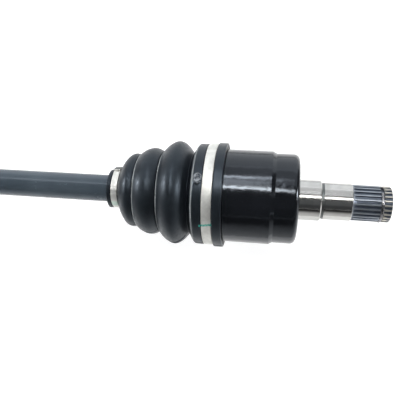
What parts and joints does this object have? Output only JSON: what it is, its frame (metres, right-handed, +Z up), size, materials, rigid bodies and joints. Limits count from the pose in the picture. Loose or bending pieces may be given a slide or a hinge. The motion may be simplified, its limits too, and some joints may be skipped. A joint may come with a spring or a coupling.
{
  "type": "cv axle",
  "caption": "Drive axle with a plunging joint in a deep cup at one end, a fixed ball joint at the other, ribbed rubber boots, band clamps and splined stubs.",
  "frame": {"origin": "on the shaft axis, at the closed end face of the inboard cup, where the inboard stub leaves", "axes": "+X out along the inboard stub, -X along the bar to the outboard stub, +Z up"},
  "size_m": [0.5418, 0.0795, 0.078],
  "materials": {
    "black_paint": "gloss",
    "machined_steel": "polished",
    "dark_spline_steel": "satin",
    "boot_rubber": "satin",
    "clamp_steel": "satin",
    "spring_steel": "satin",
    "ball_steel": "polished",
    "hardened_steel": "satin"
  },
  "bodies": {
    "shaft": {"bar_shaft": "black_paint", "inboard_inner_race": "hardened_steel", "outboard_inner_race": "hardened_steel", "inboard_race_snap_ring": "spring_steel", "outboard_race_snap_ring": "spring_steel", "inboard_boot_small_clamp": "clamp_steel", "outboard_boot_small_clamp": "clamp_steel"},
    "inboard_lower_ball": {"inboard_ball_bottom": "ball_steel"},
    "inboard_ball_cage": {"inboard_cage": "hardened_steel", "inboard_ball_rear_upper": "ball_steel", "inboard_ball_front_upper": "ball_steel", "inboard_ball_front_lower": "ball_steel", "inboard_ball_rear_lower": "ball_steel"},
    "inboard_upper_ball": {"inboard_ball_top": "ball_steel"},
    "inboard_boot_sleeve": {"inboard_boot": "boot_rubber"},
    "inboard_cup": {"inboard_housing": "black_paint", "inboard_stub_circlip": "spring_steel", "inboard_stop_ring": "spring_steel", "inboard_boot_large_clamp": "clamp_steel"},
    "outboard_lower_ball": {"outboard_ball_bottom": "ball_steel"},
    "outboard_ball_cage": {"outboard_cage": "hardened_steel", "outboard_ball_rear_upper": "ball_steel", "outboard_ball_front_upper": "ball_steel", "outboard_ball_front_lower": "ball_steel", "outboard_ball_rear_lower": "ball_steel"},
    "outboard_upper_ball": {"outboard_ball_top": "ball_steel"},
    "outboard_bell": {"outboard_housing": "black_paint", "outboard_boot_large_clamp": "clamp_steel", "outboard_boot": "boot_rubber"}
  },
  "joints": [
    {"name": "inboard_pitch", "type": "hinge", "parent": "shaft", "child": "inboard_lower_ball", "pos_m": [-0.04, 0, 0], "axis": [0, 1, 0], "range_deg": [-7, 7]},
    {"name": "inboard_yaw", "type": "hinge", "parent": "inboard_lower_ball", "child": "inboard_ball_cage", "pos_m": [-0.04, 0, 0], "axis": [0, 0, 1], "range_deg": [-7, 7]},
    {"name": "inboard_yaw_cup_half", "type": "hinge", "parent": "inboard_ball_cage", "child": "inboard_upper_ball", "pos_m": [-0.04, 0, 0], "axis": [0, 0, 1], "range_deg": [-7, 7]},
    {"name": "inboard_pitch_cup_half", "type": "hinge", "parent": "inboard_upper_ball", "child": "inboard_boot_sleeve", "pos_m": [-0.04, 0, 0], "axis": [0, 1, 0], "range_deg": [-7, 7]},
    {"name": "inboard_plunge", "type": "slide", "parent": "inboard_boot_sleeve", "child": "inboard_cup", "axis": [1, 0, 0], "range_m": [-0.01, 0.01], "deforming": ["inboard_boot"]},
    {"name": "outboard_pitch", "type": "hinge", "parent": "shaft", "child": "outboard_lower_ball", "pos_m": [-0.365, 0, 0], "axis": [0, 1, 0], "range_deg": [-12, 12]},
    {"name": "outboard_yaw", "type": "hinge", "parent": "outboard_lower_ball", "child": "outboard_ball_cage", "pos_m": [-0.365, 0, 0], "axis": [0, 0, 1], "range_deg": [-12, 12]},
    {"name": "outboard_yaw_bell_half", "type": "hinge", "parent": "outboard_ball_cage", "child": "outboard_upper_ball", "pos_m": [-0.365, 0, 0], "axis": [0, 0, 1], "range_deg": [-12, 12]},
    {"name": "outboard_pitch_bell_half", "type": "hinge", "parent": "outboard_upper_ball", "child": "outboard_bell", "pos_m": [-0.365, 0, 0], "axis": [0, 1, 0], "range_deg": [-12, 12], "deforming": ["outboard_boot"]}
  ],
  "couplings": [
    {"joint": "inboard_yaw_cup_half", "follows": "inboard_yaw", "ratio": 1},
    {"joint": "inboard_pitch_cup_half", "follows": "inboard_pitch", "ratio": 1},
    {"joint": "outboard_yaw_bell_half", "follows": "outboard_yaw", "ratio": 1},
    {"joint": "outboard_pitch_bell_half", "follows": "outboard_pitch", "ratio": 1}
  ]
}
